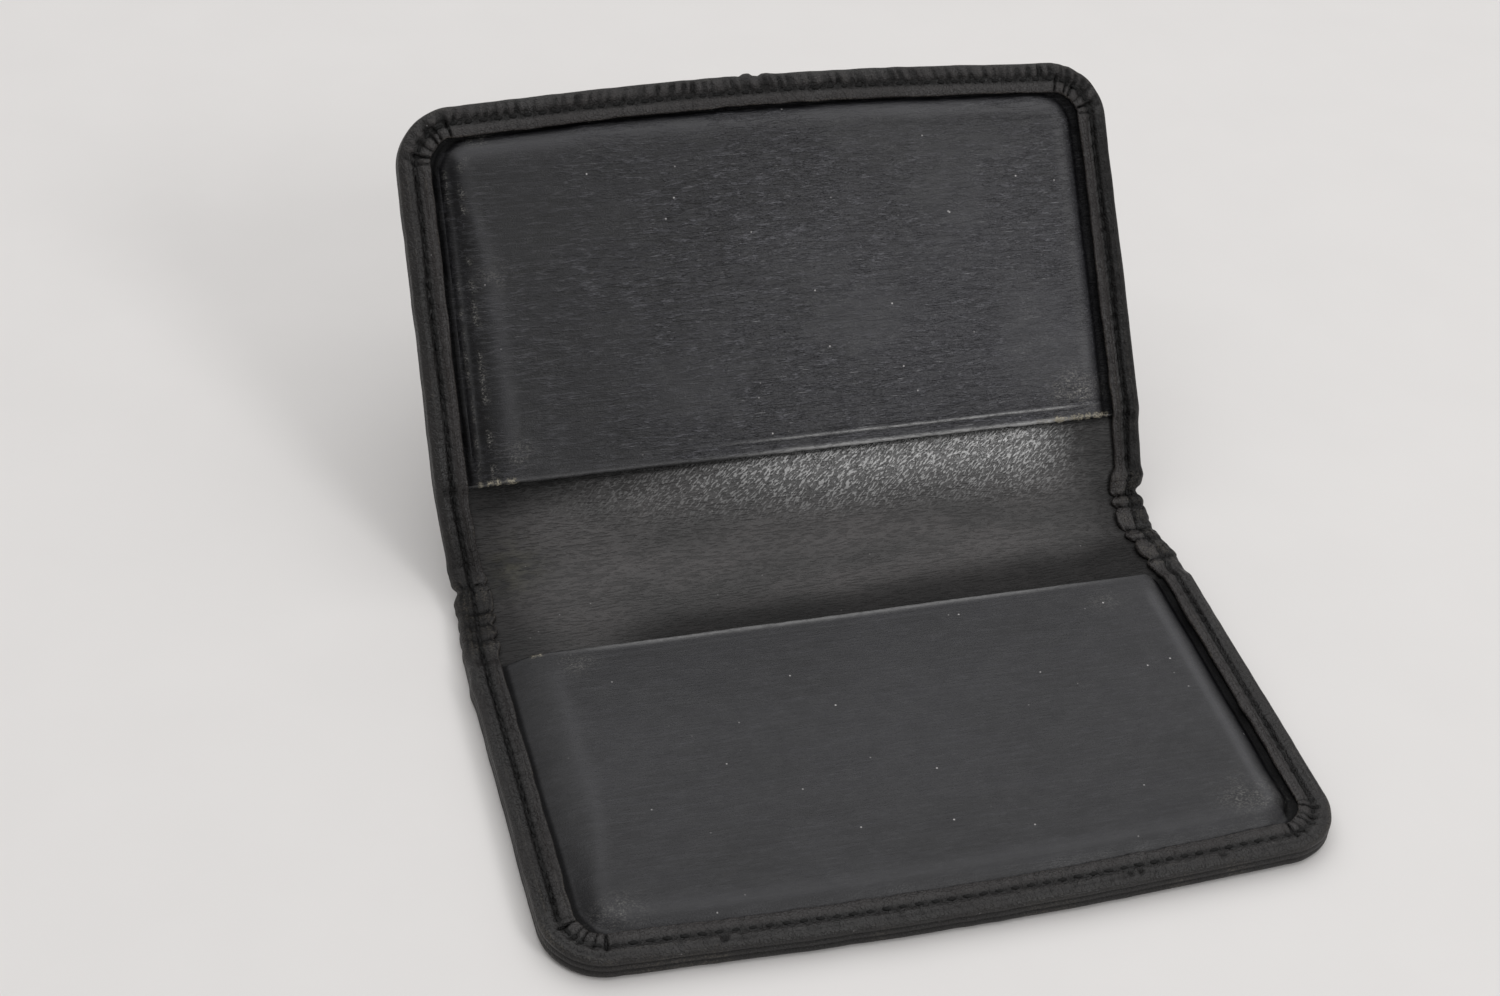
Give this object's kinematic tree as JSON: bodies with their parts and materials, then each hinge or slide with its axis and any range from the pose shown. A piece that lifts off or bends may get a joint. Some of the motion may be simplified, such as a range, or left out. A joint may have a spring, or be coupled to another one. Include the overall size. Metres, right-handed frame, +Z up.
{
  "type": "card holder",
  "caption": "Folding leather card holder: two stiffened halves joined by a soft spine, each with a stitched, turned hem and a raised card pocket opening to the fold.",
  "frame": {"origin": "middle of the back half's underside, on the surface it lies on", "axes": "+Z up from the surface, X along the fold, +Y from the back half's outer edge towards the fold and the raised front half"},
  "size_m": [0.105, 0.1153, 0.0543],
  "materials": {
    "cover_leather": "black grained leather, satin, lightly worn",
    "pocket_leather": "black grained leather, satin, creased, worn pale at the mouth's ends",
    "lining": "black pebbled lining leather, semi-gloss",
    "board": "grey paperboard stiffener",
    "thread": "black polyester thread, matte"
  },
  "bodies": {
    "back_half": {"back_cover": "cover_leather", "back_board": "board", "back_lining": "lining", "back_pocket": "pocket_leather", "back_inner_thread": "thread", "back_outer_thread": "thread"},
    "spine": {"spine_cover": "cover_leather", "spine_lining": "lining", "spine_inner_thread": "thread", "spine_outer_thread": "thread"},
    "front_half": {"front_cover": "cover_leather", "front_board": "board", "front_lining": "lining", "front_pocket": "pocket_leather", "front_inner_thread": "thread", "front_outer_thread": "thread"}
  },
  "joints": [
    {"name": "back_fold", "type": "hinge", "parent": "back_half", "child": "spine", "pos_m": [0, 0.03215, 0.001], "axis": [1, 0, 0], "range_deg": [-24.35, 65.65]},
    {"name": "front_fold", "type": "hinge", "parent": "spine", "child": "front_half", "pos_m": [0, 0.03816, 0.00372], "axis": [1, 0, 0], "range_deg": [-24.35, 65.65]}
  ],
  "couplings": [
    {"joint": "front_fold", "follows": "back_fold", "ratio": 1}
  ]
}
